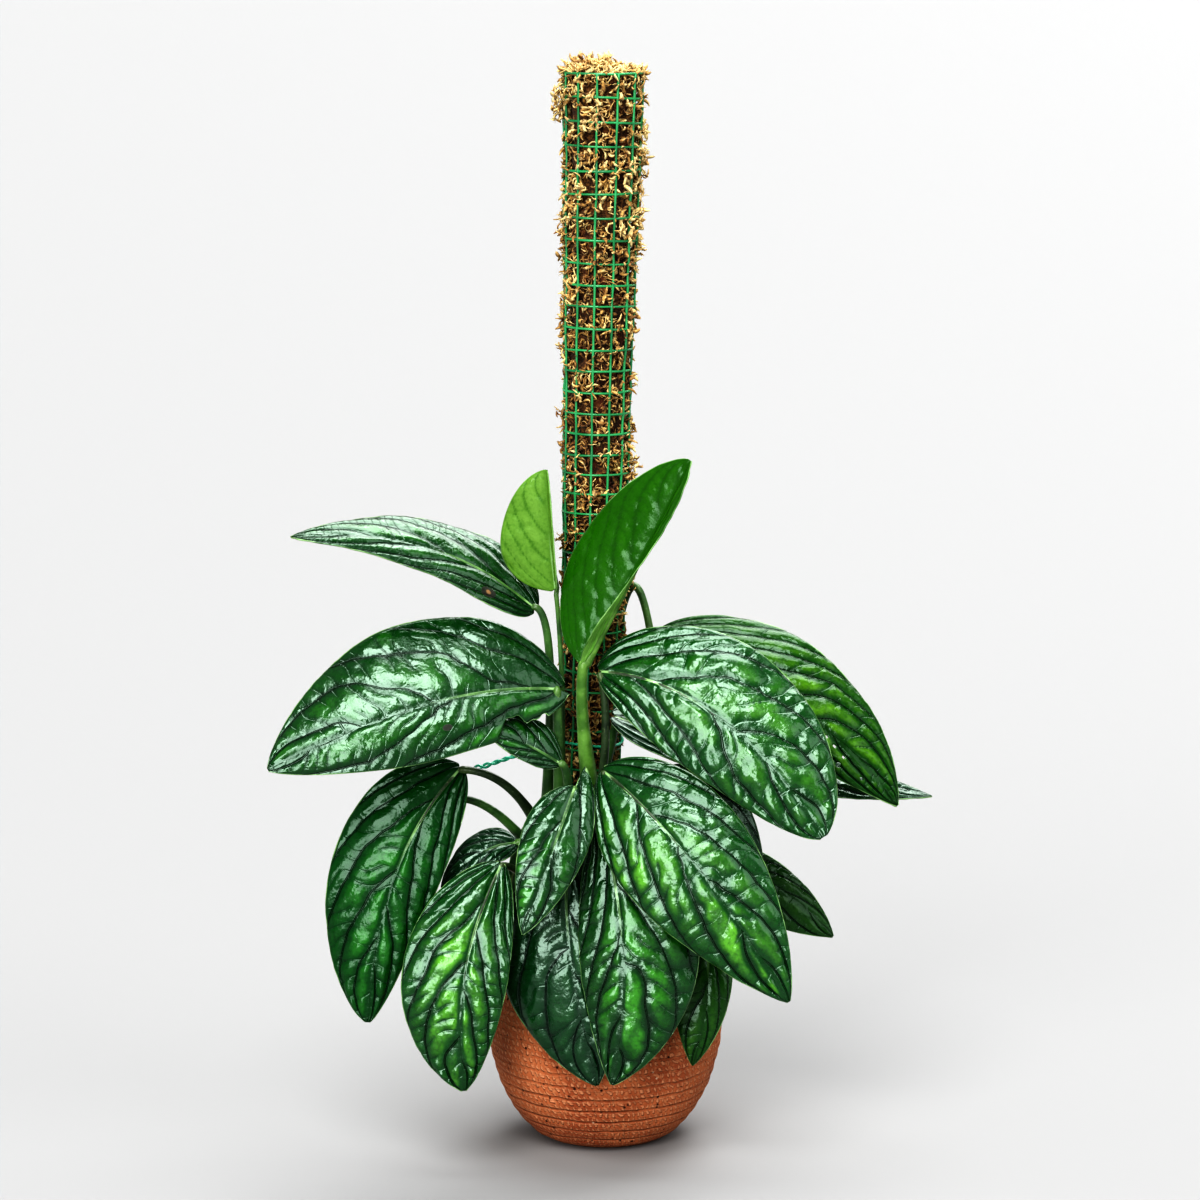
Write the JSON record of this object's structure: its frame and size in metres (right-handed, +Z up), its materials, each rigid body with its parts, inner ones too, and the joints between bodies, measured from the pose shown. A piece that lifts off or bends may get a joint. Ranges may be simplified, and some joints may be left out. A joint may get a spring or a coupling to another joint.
{
  "type": "potted climbing aroid",
  "caption": "Potted monstera pinnatipartita with puckered glossy leaves, climbing a netted moss pole in a round clay pot.",
  "frame": {"origin": "centre of the pot's flat base, where it stands", "axes": "+Z up, along the moss pole; -Y towards the front of the plant; +X to the right as seen from the front"},
  "size_m": [0.5263, 0.2735, 0.8718],
  "materials": {
    "clay": "matt unglazed clay with pressed bands",
    "soil": "loose potting mix",
    "moss": "dried sphagnum moss",
    "netting": "satin green plastic netting",
    "stem": "smooth green plant stem",
    "leaf": "glossy puckered leaf",
    "young_leaf": "satin young leaf",
    "tie": "glossy garden tie"
  },
  "bodies": {
    "root": {"pot": "clay", "soil": "soil", "moss_column": "moss", "netting": "netting", "stem_front": "stem", "stem_front_left": "stem", "stem_left": "stem", "stem_right": "stem", "stem_back": "stem", "leaf_new_lime": "young_leaf", "leaf_new_bright": "young_leaf", "leaf_upper_left": "leaf", "leaf_big_left": "leaf", "leaf_small_left": "leaf", "leaf_big_right": "leaf", "leaf_back_right": "leaf", "leaf_far_right": "leaf", "leaf_front_right": "leaf", "leaf_front_small": "leaf", "leaf_shaded_right": "leaf", "leaf_low_right": "leaf", "leaf_low_left": "leaf", "leaf_low_middle": "leaf", "leaf_low_back_right": "leaf", "leaf_hanging_left": "leaf", "leaf_lowest_left": "leaf", "leaf_behind_lowest": "leaf", "leaf_hidden_left": "leaf", "leaf_back_high": "leaf", "leaf_back_low": "leaf", "leaf_back_left": "leaf", "leaf_back_low_right": "leaf", "tie": "tie"}
  },
  "joints": []
}
